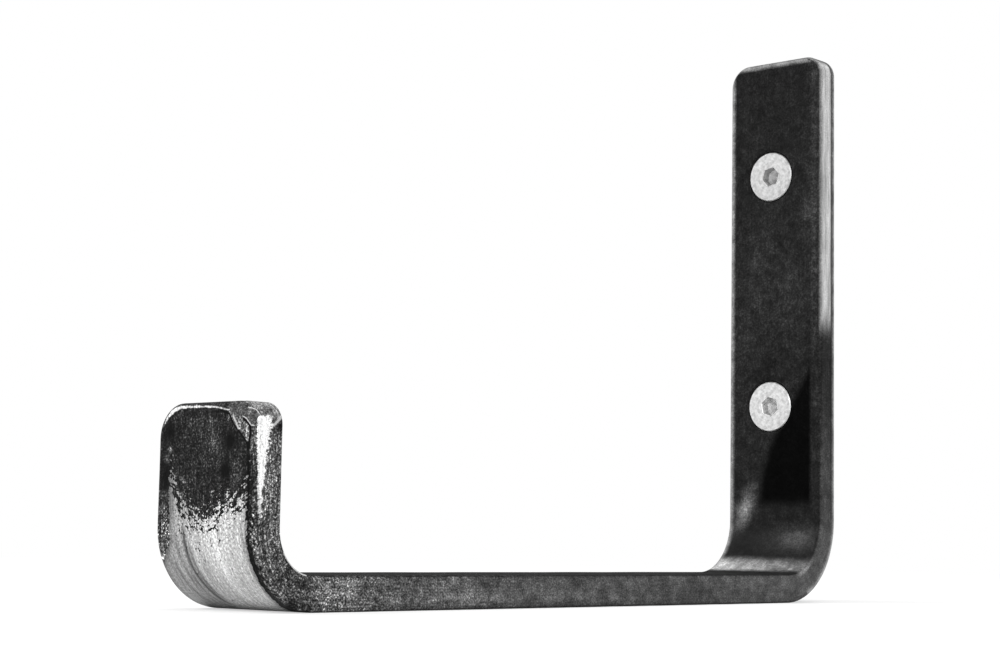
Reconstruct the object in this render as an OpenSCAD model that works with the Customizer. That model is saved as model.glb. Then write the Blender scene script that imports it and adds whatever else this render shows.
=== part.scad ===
// Wall hook for a pipe, bent from one flat steel bar: a front lip, a long arm and a back plate,
// held to the wall by two countersunk machine screws.
// All sizes are in millimetres. The origin is on the back face of the plate, on the bar's centre
// line and midway between the screws. +X runs along the bar's width, +Y into the wall, +Z up.
// "Near" is the +X side of the bar and "far" is the -X side.

/* [Bar] */
// Width of the flat bar
bar_w = 25.4; // [20:0.1:40]
// Thickness of the flat bar
bar_t = 6.35; // [5:0.05:10]
// Rounding of the bar's long edges, carried round both ends
edge_r = 0.8; // [0.3:0.1:1.6]

/* [Hook] */
// Reach from the wall to the outer face of the lip
reach = 177.8; // [90:0.1:300]
// Height of the lip above the underside of the arm
lip_h = 35.5; // [32:0.5:90]
// Inside radius of the bend at the lip
lip_bend_r = 8; // [4:0.25:12]
// Height of the plate above the underside of the arm
plate_h = 127; // [105:1:220]
// Inside radius of the bend at the plate
plate_bend_r = 12.25; // [6:0.25:16]

/* [Rounded ends] */
// Corner radius of the lip's end on the far side
lip_far_corner_r = 6; // [2.5:0.5:8]
// Corner radius of the lip's end on the near side
lip_near_corner_r = 4; // [2.5:0.5:8]
// Corner radius of the plate's end on the far side
plate_far_corner_r = 5; // [2.5:0.5:8]
// Corner radius of the plate's end on the near side
plate_near_corner_r = 4.5; // [2.5:0.5:8]

/* [Ground flats on the lip] */
// How deep the upper flat cuts below the sharp front corner of the lip
upper_flat_depth = 1.9; // [0.5:0.1:3]
// Turn of the upper flat from the front towards the near side, in degrees
upper_flat_turn = 16; // [5:1:40]
// Tip of the upper flat from the front towards the top, in degrees
upper_flat_tip = 27; // [10:1:45]
// How deep the lower flat cuts below the sharp front corner of the lip
lower_flat_depth = 1; // [0.3:0.1:2]
// Turn of the lower flat from the front towards the near side, in degrees
lower_flat_turn = 6.5; // [3:0.5:15]
// Tip of the lower flat from the front towards the top, in degrees
lower_flat_tip = 7; // [3:0.5:15]

/* [Screws] */
// Height of the lower screw above the underside of the arm
lower_screw_rise = 45; // [36:0.5:60]
// Distance of the upper screw below the top of the plate
upper_screw_drop = 27.5; // [14:0.5:40]
// Sideways place of both screws, from the bar's centre line towards the near side
screw_side = -1.4; // [-4:0.1:4]
// Thread diameter
thread_d = 6; // [5.5:0.5:7]
// Diameter of the plain neck between the head and the thread
neck_d = 5.2; // [4:0.1:5.4]
// Length of a screw from the top of its head to its tip
screw_length = 20; // [14:1:60]
// Chamfer at the tip
tip_chamfer = 0.8; // [0.3:0.1:1.5]
// Diameter of the countersunk head
head_d = 11.6; // [10:0.1:13]
// Height of the straight rim of the head
head_rim = 0.3; // [0.1:0.1:0.8]
// How far the top of the head lies below the face of the plate
head_sink = 0.15; // [0.05:0.05:0.6]
// Chamfer round the top of the head
head_chamfer = 0.2; // [0.1:0.05:0.3]
// Size of the hexagon socket across its flats
socket_af = 4; // [3:0.5:4.5]
// Depth of the hexagon socket
socket_depth = 2.3; // [1.5:0.1:2.5]

/* [Clearances] */
// Clearance round the thread in its hole, on the radius
hole_clearance = 0.3; // [0.1:0.05:0.6]
// Clearance between the head's cone and the countersink, square to the cone
seat_clearance = 0.05; // [0.02:0.01:0.15]
// Distance from the back of the plate to the start of the thread
thread_clearance = 0.3; // [0.1:0.1:1]

/* [Hidden] */
$fn = 96;

steel_black = [0.2, 0.2, 0.21];
steel_bright = [0.78, 0.78, 0.8];

// Hexagons have their flats across X after this turn
hex_sides = 6;
// Half angle of the countersink, and the steeper drill point that ends the socket
countersink_slope = tan(45);
drill_point_slope = tan(30);
// Overshoot of a cut past the face that it opens
cut_over = 1;
// Size of the block that grinds a flat, larger than the bar's end
grind_block = 2 * (bar_w + bar_t);

lip_outer_r = lip_bend_r + bar_t;
plate_outer_r = plate_bend_r + bar_t;

lower_screw_z = lower_screw_rise;
upper_screw_z = plate_h - upper_screw_drop;
origin_rise = (lower_screw_z + upper_screw_z) / 2;

thread_r = thread_d / 2;
neck_r = neck_d / 2;
head_r = head_d / 2;
head_cone_h = (head_r - neck_r) / countersink_slope;
thread_start = bar_t - head_sink + thread_clearance;
socket_corner_r = socket_af / 2 / cos(180 / hex_sides);
hole_r = thread_r + hole_clearance;
// The countersink's cone runs parallel to the head's, outside it by the seat clearance
mouth_r = head_r + (head_rim + head_sink) * countersink_slope + seat_clearance / cos(45);
countersink_h = (mouth_r - hole_r) / countersink_slope;

// A strip of the bar's thickness from x = 0 to x = reach_x, with both corners of its far side rounded
module rounded_strip(reach_x) {
    square([reach_x - edge_r, bar_t]);
    translate([0, edge_r])
        square([reach_x, bar_t - 2 * edge_r]);
    for (y = [edge_r, bar_t - edge_r])
        translate([reach_x - edge_r, y])
            circle(r = edge_r);
}

// Cross-section of the bar, its outer face on y = 0
module bar_section() {
    for (side = [0, 1])
        mirror([side, 0])
            rounded_strip(bar_w / 2);
}

// Straight stretch of the bar, standing up from z = 0 with its outer face on y = 0
module straight(length) {
    linear_extrude(height = length)
        bar_section();
}

// Quarter bend about the X axis through the origin, from straight out (-Y) to straight down (-Z)
module quarter_bend(outer_r) {
    rotate([90, 0, 90])
        rotate([0, 0, 180])
            rotate_extrude(angle = 90)
                translate([outer_r, 0])
                    rotate(90)
                        bar_section();
}

// One rounded corner at the bar's end and the strip of bar below it, on the +X side of x = 0.
// Its top is at z = 0, and its foot is at z = -foot.
module end_corner(corner_r, foot) {
    rotate([90, 0, 0])
        mirror([0, 0, 1])
            translate([0, -corner_r, 0])
                rotate_extrude(angle = 90)
                    rounded_strip(corner_r);
    translate([0, 0, -foot])
        linear_extrude(height = foot - corner_r)
            rounded_strip(corner_r);
}

// The bar's end, its top at z = 0 and its foot at z = -foot, with a rounded corner on each side
module bar_end(far_r, near_r, foot) {
    translate([bar_w / 2 - near_r, 0, 0])
        end_corner(near_r, foot);
    translate([far_r - bar_w / 2, 0, 0])
        mirror([1, 0, 0])
            end_corner(far_r, foot);
    translate([far_r - bar_w / 2, 0, -foot])
        rotate([90, 0, 90])
            linear_extrude(height = bar_w - far_r - near_r)
                rotate(90)
                    mirror([0, 1])
                        rounded_strip(foot);
}

// Upright stretch of the bar from z = start to z = top, with a rounded end
module upright(start, top, far_r, near_r) {
    foot = max(far_r, near_r) + edge_r;
    translate([0, 0, start])
        straight(top - foot - start);
    translate([0, 0, top])
        bar_end(far_r, near_r, foot);
}

// Block in front of a ground flat. The flat lies depth below the lip's sharp near corner.
module grinding(depth, turn, tip) {
    translate([bar_w / 2, -reach, lip_h])
        rotate([-tip, 0, turn])
            translate([-grind_block / 2, depth - grind_block, -grind_block / 2])
                cube(grind_block);
}

// Countersunk clearance hole through the plate, along +Z from the plate's face at z = 0
module screw_hole() {
    rotate_extrude()
        polygon([
            [0, -cut_over],
            [mouth_r, -cut_over],
            [mouth_r, 0],
            [hole_r, countersink_h],
            [hole_r, bar_t + cut_over],
            [0, bar_t + cut_over]
        ]);
}

// Places its children on a screw's axis at the face of the plate, with +Z turned into the wall
module at_screw(height) {
    translate([screw_side, -bar_t, height])
        rotate([-90, 0, 0])
            children();
}

// Screw along +Z, with the top of its head at z = 0. Its neck passes through the plate, and its
// thread starts behind it.
module countersunk_screw() {
    difference() {
        rotate_extrude()
            polygon([
                [0, 0],
                [head_r - head_chamfer, 0],
                [head_r, head_chamfer],
                [head_r, head_rim],
                [neck_r, head_rim + head_cone_h],
                [neck_r, thread_start],
                [thread_r, thread_start],
                [thread_r, screw_length - tip_chamfer],
                [thread_r - tip_chamfer, screw_length],
                [0, screw_length]
            ]);
        translate([0, 0, -cut_over])
            cylinder(r = socket_corner_r, h = socket_depth + cut_over, $fn = hex_sides);
        translate([0, 0, socket_depth])
            cylinder(r1 = socket_af / 2, r2 = 0, h = socket_af / 2 * drill_point_slope);
    }
}

module hook_bar() {
    color(steel_black)
        translate([0, 0, -origin_rise])
            difference() {
                union() {
                    translate([0, -reach, 0])
                        upright(lip_outer_r, lip_h, lip_far_corner_r, lip_near_corner_r);
                    translate([0, lip_outer_r - reach, lip_outer_r])
                        quarter_bend(lip_outer_r);
                    translate([0, -plate_outer_r, 0])
                        rotate([90, 0, 0])
                            straight(reach - lip_outer_r - plate_outer_r);
                    translate([0, -plate_outer_r, plate_outer_r])
                        mirror([0, 1, 0])
                            quarter_bend(plate_outer_r);
                    mirror([0, 1, 0])
                        upright(plate_outer_r, plate_h, plate_far_corner_r, plate_near_corner_r);
                }
                grinding(upper_flat_depth, upper_flat_turn, upper_flat_tip);
                grinding(lower_flat_depth, lower_flat_turn, lower_flat_tip);
                at_screw(lower_screw_z)
                    screw_hole();
                at_screw(upper_screw_z)
                    screw_hole();
            }
}

module seated_screw(height) {
    color(steel_bright)
        translate([0, 0, -origin_rise])
            at_screw(height)
                translate([0, 0, head_sink])
                    countersunk_screw();
}

module upper_screw() {
    seated_screw(upper_screw_z);
}

module lower_screw() {
    seated_screw(lower_screw_z);
}

hook_bar();
upper_screw();
lower_screw();
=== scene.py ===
import math
from types import SimpleNamespace
import bpy
import numpy as np
from mathutils import Matrix, Vector


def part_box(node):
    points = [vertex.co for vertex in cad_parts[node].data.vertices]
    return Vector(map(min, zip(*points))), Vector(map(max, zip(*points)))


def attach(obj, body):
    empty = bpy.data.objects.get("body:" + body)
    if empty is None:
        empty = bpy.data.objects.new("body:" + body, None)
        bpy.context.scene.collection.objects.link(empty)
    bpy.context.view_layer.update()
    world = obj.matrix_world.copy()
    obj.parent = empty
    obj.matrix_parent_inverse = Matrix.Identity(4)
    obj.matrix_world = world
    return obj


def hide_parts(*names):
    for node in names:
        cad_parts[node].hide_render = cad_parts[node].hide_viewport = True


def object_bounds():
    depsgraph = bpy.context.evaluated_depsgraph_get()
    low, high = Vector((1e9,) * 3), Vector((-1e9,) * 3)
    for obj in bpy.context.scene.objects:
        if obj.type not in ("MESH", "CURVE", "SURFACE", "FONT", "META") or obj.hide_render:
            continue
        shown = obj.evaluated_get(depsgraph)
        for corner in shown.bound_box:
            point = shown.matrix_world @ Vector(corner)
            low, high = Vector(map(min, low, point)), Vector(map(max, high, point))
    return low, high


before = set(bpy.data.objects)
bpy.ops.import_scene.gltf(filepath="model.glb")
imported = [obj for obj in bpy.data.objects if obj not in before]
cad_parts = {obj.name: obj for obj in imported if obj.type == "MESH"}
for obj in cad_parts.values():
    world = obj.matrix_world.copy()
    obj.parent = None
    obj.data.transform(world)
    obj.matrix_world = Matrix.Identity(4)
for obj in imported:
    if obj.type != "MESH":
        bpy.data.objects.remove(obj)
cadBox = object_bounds()
mm = 0.001  # sizes below are in millimetres where nothing else is said, and the scene is in metres
print("frame loaded:", sorted(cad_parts))


# Camera, floor and light, in metres

camera = {
    "place": (0.26751, -0.40354, -0.05925),
    "yaw": 41.676,  # degrees from +Y towards -X
    "pitch": 5.763,
    "roll": 0.981,
    "lens": 73.27,
    "sensorWidth": 36,
    "clipStart": 0.01,
}

studio = {
    "floorHeight": cadBox[0][2],
    "floorSize": 12.0,
    "floorGrey": 0.9,
    "floorGlow": (0.55, 1.0),  # share of plain white that the floor shows to the camera, near and far
    "glowReach": (0.16, 0.7),  # distance from the middle over which that share grows
    "skyLight": 0.62,
    "backdropWhite": 1.0,
    "lampTarget": (0.0, -0.09, -0.02),
    # name: place, size, power in watts
    "lamps": {
        "key": ((-0.75, -0.95, 0.85), 0.7, 11.0),
        "fill": ((0.95, -0.55, 0.45), 0.8, 5.0),
        "top": ((0.1, 0.1, 1.2), 0.9, 7.0),
    },
}


def aimed(place, right, up):
    # Matrix of a camera or lamp at a place, which looks along its own -Z
    back = right.cross(up)
    turn = Matrix((right, up, back)).transposed()
    return Matrix.Translation(place) @ turn.to_4x4()


def addCamera(c):
    yaw, pitch, roll = (math.radians(c[k]) for k in ("yaw", "pitch", "roll"))
    forward = Vector((-math.sin(yaw) * math.cos(pitch), math.cos(yaw) * math.cos(pitch), math.sin(pitch)))
    level = Vector((math.cos(yaw), math.sin(yaw), 0))
    upright = level.cross(forward)
    right = level * math.cos(roll) + upright * math.sin(roll)
    up = upright * math.cos(roll) - level * math.sin(roll)
    data = bpy.data.cameras.new("camera")
    data.lens, data.sensor_width, data.clip_start = c["lens"], c["sensorWidth"], c["clipStart"]
    cam = bpy.data.objects.new("camera", data)
    cam.matrix_world = aimed(c["place"], right, up)
    bpy.context.scene.collection.objects.link(cam)
    bpy.context.scene.camera = cam


def addLamp(name, place, target, size, power):
    data = bpy.data.lights.new(name, "AREA")
    data.size, data.energy = size, power
    lamp = bpy.data.objects.new(name, data)
    forward = (Vector(target) - Vector(place)).normalized()
    right = forward.cross(Vector((0, 0, 1))).normalized()
    lamp.matrix_world = aimed(place, right, right.cross(forward))
    bpy.context.scene.collection.objects.link(lamp)


# Shader helpers: each adds a node or a few and gives the output socket back

def addNode(tree, kind, settings=None, **sockets):
    # i0, i1 and so on are sockets by number, and other words are sockets by name
    made = tree.nodes.new(kind)
    for key, value in (settings or {}).items():
        setattr(made, key, value)
    for key, value in sockets.items():
        socket = made.inputs[int(key[1:])] if key[1:].isdigit() else made.inputs[key.replace("_", " ")]
        if isinstance(value, bpy.types.NodeSocket):
            tree.links.new(value, socket)
        else:
            socket.default_value = value
    return made


def calc(tree, operation, first, second=0.0, third=0.0, clamp=False):
    settings = {"operation": operation, "use_clamp": clamp}
    return addNode(tree, "ShaderNodeMath", settings, i0=first, i1=second, i2=third).outputs[0]


def vectorCalc(tree, operation, first, output="Vector", **sockets):
    made = addNode(tree, "ShaderNodeVectorMath", {"operation": operation}, i0=first, **sockets)
    return made.outputs[output]


def ramp(tree, value, low, high, start=0.0, end=1.0):
    # Goes smoothly from start to end while value goes from low to high
    made = addNode(tree, "ShaderNodeMapRange", {"interpolation_type": "SMOOTHSTEP"},
                   i0=value, i1=low, i2=high, i3=start, i4=end)
    return made.outputs[0]


def mix(tree, share, first, second):
    made = addNode(tree, "ShaderNodeMix", {"data_type": "FLOAT"}, Factor=share, i2=first, i3=second)
    return made.outputs[0]


def noise(tree, vector, scale, detail, roughness):
    # The scale is one number, or one for each axis
    if isinstance(scale, tuple):
        vector, scale = vectorCalc(tree, "MULTIPLY", vector, i1=scale), 1.0
    made = addNode(tree, "ShaderNodeTexNoise", None, Vector=vector, Scale=scale, Detail=detail,
                   Roughness=roughness)
    return made.outputs[0]


def stretchGap(tree, place, start, end):
    # Distance of a point from the straight stretch between two others
    span = Vector(end) - Vector(start)
    offset = vectorCalc(tree, "SUBTRACT", place, i1=start)
    share = vectorCalc(tree, "DOT_PRODUCT", offset, "Value", i1=span / span.length_squared)
    foot = vectorCalc(tree, "SCALE", span, Scale=calc(tree, "ADD", share, clamp=True))
    return vectorCalc(tree, "DISTANCE", offset, "Value", i1=foot)


def readAttribute(tree, name, output="Fac"):
    return addNode(tree, "ShaderNodeAttribute", {"attribute_name": name}).outputs[output]


def newMaterial(name):
    material = bpy.data.materials.new(name)
    material.use_nodes = True
    material.node_tree.nodes.clear()
    return material, material.node_tree


def addStage(s):
    # Plain pale floor. The camera sees part of it as plain white, so that it joins the backdrop.
    half = s["floorSize"] / 2
    corners = [(x * half, y * half, s["floorHeight"]) for x, y in ((-1, -1), (1, -1), (1, 1), (-1, 1))]
    mesh = bpy.data.meshes.new("floor")
    mesh.from_pydata(corners, [], [(0, 1, 2, 3)])
    floor = bpy.data.objects.new("floor", mesh)
    bpy.context.scene.collection.objects.link(floor)
    material, tree = newMaterial("floorPaint")
    paint = addNode(tree, "ShaderNodeBsdfDiffuse", None, Color=(s["floorGrey"],) * 3 + (1,))
    glow = addNode(tree, "ShaderNodeEmission", None, Color=(1, 1, 1, 1), Strength=s["backdropWhite"])
    rays = addNode(tree, "ShaderNodeLightPath")
    place = addNode(tree, "ShaderNodeTexCoord").outputs["Object"]
    distance = vectorCalc(tree, "LENGTH", vectorCalc(tree, "MULTIPLY", place, i1=(1, 1, 0)), "Value")
    glowShare = ramp(tree, distance, *s["glowReach"], *s["floorGlow"])
    seen = calc(tree, "MULTIPLY", rays.outputs["Is Camera Ray"], glowShare)
    both = addNode(tree, "ShaderNodeMixShader", None, i0=seen, i1=paint.outputs[0], i2=glow.outputs[0])
    addNode(tree, "ShaderNodeOutputMaterial", None, Surface=both.outputs[0])
    mesh.materials.append(material)

    # White sky to the camera and in reflections, softer as a light
    world = bpy.data.worlds.new("studio")
    bpy.context.scene.world = world
    world.use_nodes = True
    tree = world.node_tree
    tree.nodes.clear()
    rays = addNode(tree, "ShaderNodeLightPath")
    seen = calc(tree, "MAXIMUM", rays.outputs["Is Camera Ray"], rays.outputs["Is Glossy Ray"])
    seen = calc(tree, "MAXIMUM", seen, rays.outputs["Is Transmission Ray"])
    strength = mix(tree, seen, s["skyLight"], s["backdropWhite"])
    sky = addNode(tree, "ShaderNodeBackground", None, Color=(1, 1, 1, 1), Strength=strength)
    addNode(tree, "ShaderNodeOutputWorld", None, Surface=sky.outputs[0])

    for name, (place, size, power) in s["lamps"].items():
        addLamp(name, place, s["lampTarget"], size, power)


addCamera(camera)
addStage(studio)
bpy.context.scene.view_settings.view_transform = "Standard"
print("camera, floor and light made")


# Meshes

def boxOf(node):
    # Lowest and highest corner of a node of the frame, to a thousandth of a millimetre
    return [np.round(np.array(corner) / mm, 3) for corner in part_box(node)]


def makeMesh(name, points, quads, triangles, sharpAngle, attributes):
    # One mesh object in metres from points in millimetres, smooth but for edges above the sharp angle
    mesh = bpy.data.meshes.new(name)
    sizes = np.repeat([4, 3], [len(quads), len(triangles)])
    corners = np.concatenate([np.ravel(quads), np.ravel(triangles)])
    mesh.vertices.add(len(points))
    mesh.vertices.foreach_set("co", (points * mm).astype(np.float32).ravel())
    mesh.loops.add(len(corners))
    mesh.loops.foreach_set("vertex_index", corners.astype(np.int32))
    mesh.polygons.add(len(sizes))
    mesh.polygons.foreach_set("loop_start", (np.cumsum(sizes) - sizes).astype(np.int32))
    for key, values in attributes.items():
        kind, slotName = ("FLOAT_VECTOR", "vector") if values.ndim == 2 else ("FLOAT", "value")
        mesh.attributes.new(key, kind, "POINT").data.foreach_set(slotName, values.astype(np.float32).ravel())
    mesh.update(calc_edges=True)
    mesh.validate()
    mesh.polygons.foreach_set("use_smooth", np.ones(len(sizes), bool))
    mesh.set_sharp_from_angle(angle=math.radians(sharpAngle))
    piece = bpy.data.objects.new(name, mesh)
    bpy.context.scene.collection.objects.link(piece)
    return piece


# Hook bar. Its outer face is the lip's front, the arm's underside and the plate's back, and its inner face
# is the other one. Depth goes from the outer face to the inner one.

barLow, barHigh = boxOf("hook_bar")
screwMiddles = [sum(boxOf(node)) / 2 for node in ("lower_screw", "upper_screw")]

bar = {
    "width": barHigh[0] - barLow[0],
    "reach": barHigh[1] - barLow[1],
    "plateHeight": barHigh[2] - barLow[2],
    "underside": barLow[2],  # height of the arm's underside
    "thickness": 6.35,
    "edgeRound": 0.8,
    "lipHeight": 35.5,
    "lipBend": 8.0,  # inside radius
    "plateBend": 12.25,
    "lipCorners": (6.0, 4.0),  # far side, near side
    "plateCorners": (5.0, 4.5),
    "flats": ((1.9, 16.0, 27.0), (1.0, 6.5, 7.0)),  # depth, turn and tip of each ground flat
    "screwSide": screwMiddles[0][0],
    "screwRises": [middle[2] - barLow[2] for middle in screwMiddles],
    "holeRound": 3.3,
    "mouthRound": 6.32,
    "holeSoftening": 0.12,  # breaks the hole's sharp edges
    "window": 7.0,  # half side of the patch round each hole
    "windowRows": 28,
    "faceLevels": (0.35, 0.65, 0.85, 1.0),  # rings from the patch's border to the hole's mouth
    "backLevels": (1.0, 0.8, 0.55, 0.3),
    "columns": (11, 40, 18),  # across the bar: before, over and after the patches
    "arcSteps": 12,
    "edgeSteps": 5,
    "wallSteps": 9,
    "leastStep": 0.015,  # rows of the two corners that lie closer than this are joined
    "rowStep": {"lip": 0.36, "lipBend": 0.45, "arm": 1.2, "plateBend": 0.55, "plate": 1.0},
    "wave": 0.05,  # unevenness of the faces, always inwards
    "waveLengths": (7.0, 11.0, 17.0, 29.0, 45.0),
    "waveSeeds": (3, 5),  # inner face, outer face
    "sharpAngle": 28.0,
}


def barMarks():
    # Distances along the middle line where the lip, its bend, the arm, its bend and the plate end
    half = bar["thickness"] / 2
    lipMid, plateMid = bar["lipBend"] + half, bar["plateBend"] + half
    lipOut, plateOut = lipMid + half, plateMid + half
    return np.cumsum([bar["lipHeight"] - lipOut, lipMid * math.pi / 2, bar["reach"] - lipOut - plateOut,
                      plateMid * math.pi / 2, bar["plateHeight"] - plateOut])


def bentPlace(across, depth, along):
    # From the straight bar to the bent one: the middle line runs down the lip, a quarter turn, along the
    # arm, a quarter turn and up the plate, and each point stands off it by its depth less half the thickness
    half = bar["thickness"] / 2
    lipMid, plateMid = bar["lipBend"] + half, bar["plateBend"] + half
    marks = barMarks()
    firstTurn = np.clip((along - marks[0]) / lipMid, 0, math.pi / 2)
    lastTurn = np.clip((along - marks[2]) / plateMid, 0, math.pi / 2)
    turn = firstTurn + lastTurn
    y = half - bar["reach"] + lipMid * (1 - np.cos(firstTurn))
    y = y + np.clip(along - marks[1], 0, marks[2] - marks[1]) + plateMid * np.sin(lastTurn)
    z = lipMid + half - lipMid * np.sin(firstTurn) + np.maximum(marks[0] - along, 0)
    z = z + plateMid * (1 - np.cos(lastTurn)) + np.maximum(along - marks[3], 0)
    y = y + (depth - half) * np.cos(turn)
    z = z + (depth - half) * np.sin(turn) + bar["underside"]
    return np.stack([across, y, z], -1)


def spread(start, end, step):
    # Even distances from start up to but not including end
    return np.linspace(start, end, max(2, math.ceil((end - start) / step) + 1))[:-1]


def endRows(corners):
    # Distances from the end at which rows cross both corner arcs at even angles
    turns = np.linspace(0, math.pi / 2, bar["arcSteps"] + 1)
    rows = np.sort(np.concatenate([(r - bar["edgeRound"]) * (1 - np.cos(turns)) for r in corners]))
    return rows[np.concatenate([[True], np.diff(rows) > bar["leastStep"]])]


def barRows():
    # Distances of the rows from the lip's end, and the first row and the middle of each hole's patch
    marks, edge, step = barMarks(), bar["edgeRound"], bar["rowStep"]
    lipRows, plateRows = endRows(bar["lipCorners"]), endRows(bar["plateCorners"])
    foot = bar["plateBend"] + bar["thickness"]
    parts = [edge + lipRows[:-1], spread(edge + lipRows[-1], marks[0], step["lip"]),
             spread(marks[0], marks[1], step["lipBend"]), spread(marks[1], marks[2], step["arm"]),
             spread(marks[2], marks[3], step["plateBend"])]
    at, windows = marks[3], []
    for rise in bar["screwRises"]:
        middle = marks[3] + rise - foot
        parts.append(spread(at, middle - bar["window"], step["plate"]))
        windows.append((sum(len(part) for part in parts), middle))
        at = middle + bar["window"]
        parts.append(np.linspace(middle - bar["window"], at, bar["windowRows"] + 1)[:-1])
    end = marks[4] - edge
    parts += [spread(at, end - plateRows[-1], step["plate"]), end - plateRows[::-1]]
    return np.concatenate(parts), windows


def barColumns():
    # Shares of the flat face's width from the far side to the near one, closer together over the holes
    before, over, after = bar["columns"]
    inner = bar["width"] / 2 - bar["edgeRound"]
    first, last = bar["screwSide"] - bar["window"], bar["screwSide"] + bar["window"]
    places = np.concatenate([np.linspace(-inner, first, before + 1)[:-1],
                             np.linspace(first, last, over + 1)[:-1], np.linspace(last, inner, after + 1)])
    return (places + inner) / (2 * inner)


def rowEnds(rows, side):
    # How far the flat face is drawn in at each row on the far (0) or near (1) side, and how far its edge
    # faces across and along there. On a corner's arc of radius r the angle's cosine is 1 less the distance
    # from the end over r, and the face is drawn in by r times 1 less the angle's sine.
    marks, edge = barMarks(), bar["edgeRound"]
    onLip = rows < marks[2]
    fromEnd = np.where(onLip, rows, marks[4] - rows) - edge
    radius = np.where(onLip, bar["lipCorners"][side], bar["plateCorners"][side]) - edge
    angle = np.arccos(np.clip(1 - fromEnd / radius, 0, 1))
    inset = radius * (1 - np.sin(angle))
    return inset, (2 * side - 1) * np.sin(angle), np.where(onLip, -1, 1) * np.cos(angle)


def roundFace(rowCount, columnCount):
    # Rows and columns of the face's outline, once round from its far corner at the lip's end
    lastRow, lastColumn = rowCount - 1, columnCount - 1
    loopRow = np.concatenate([np.arange(rowCount), np.full(lastColumn, lastRow),
                              np.arange(lastRow - 1, -1, -1), np.zeros(lastColumn - 1, int)])
    loopColumn = np.concatenate([np.zeros(rowCount, int), np.arange(1, columnCount),
                                 np.full(lastRow, lastColumn), np.arange(lastColumn - 1, 0, -1)])
    return loopRow, loopColumn


def roundEdge():
    # How far out, how deep and how far turned (0 outer face, 1 side, 2 inner face) the edge's columns lie:
    # a quarter round, the straight wall and a quarter round
    edge, thick = bar["edgeRound"], bar["thickness"]
    turns = np.linspace(0, math.pi / 2, bar["edgeSteps"] + 1)
    wall = np.linspace(edge, thick - edge, bar["wallSteps"] + 1)[1:-1]
    out = np.concatenate([edge * np.sin(turns), np.full(len(wall), edge), edge * np.cos(turns)])
    depth = np.concatenate([edge * (1 - np.cos(turns)), wall, thick - edge + edge * np.sin(turns)])
    level = np.full(len(wall), math.pi / 2)
    turned = np.concatenate([turns, level, math.pi / 2 + turns]) * 2 / math.pi
    return out, depth, turned


def joined(rings):
    # Quads between each ring of point numbers and the next, once round
    ahead = np.roll(rings, -1, 1)
    return np.stack([rings[:-1], rings[1:], ahead[1:], ahead[:-1]], -1).reshape(-1, 4)


def holeRings(outline, middle):
    # Rings from a patch's border on the plate's face to the one on its back: on a face, shares of the way
    # from the border to the hole's round edge, and inside it the countersink and the bore
    thick, hole, mouth, soft = bar["thickness"], bar["holeRound"], bar["mouthRound"], bar["holeSoftening"]
    direction = outline - middle
    direction /= np.linalg.norm(direction, axis=1, keepdims=True)

    def onFace(level, radius, depth):
        place = outline * (1 - level) + (middle + direction * radius) * level
        return np.column_stack([place[:, 0], np.full(len(place), depth), place[:, 1]])

    rings = [onFace(level, mouth + soft, thick) for level in bar["faceLevels"]]
    cone = mouth - hole
    for radius, depth in ((mouth, thick - soft), (hole + soft, thick - cone + soft),
                          (hole, thick - cone - soft), (hole, soft)):
        rings.append(onFace(1.0, radius, depth))
    return rings + [onFace(level, hole + soft, 0.0) for level in bar["backLevels"]]


def uneven(across, along, seed):
    # Shallow hammered waves, from 0 to 1: a sum of a few crossed sines of different lengths
    source = np.random.default_rng(seed)
    total = np.zeros(across.shape)
    for length in bar["waveLengths"]:
        angle, shift = source.uniform(0, math.pi), source.uniform(0, 2 * math.pi)
        total += np.sin((across * math.cos(angle) + along * math.sin(angle)) * 2 * math.pi / length + shift)
    return 0.5 + total / (2 * len(bar["waveLengths"]))


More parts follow.
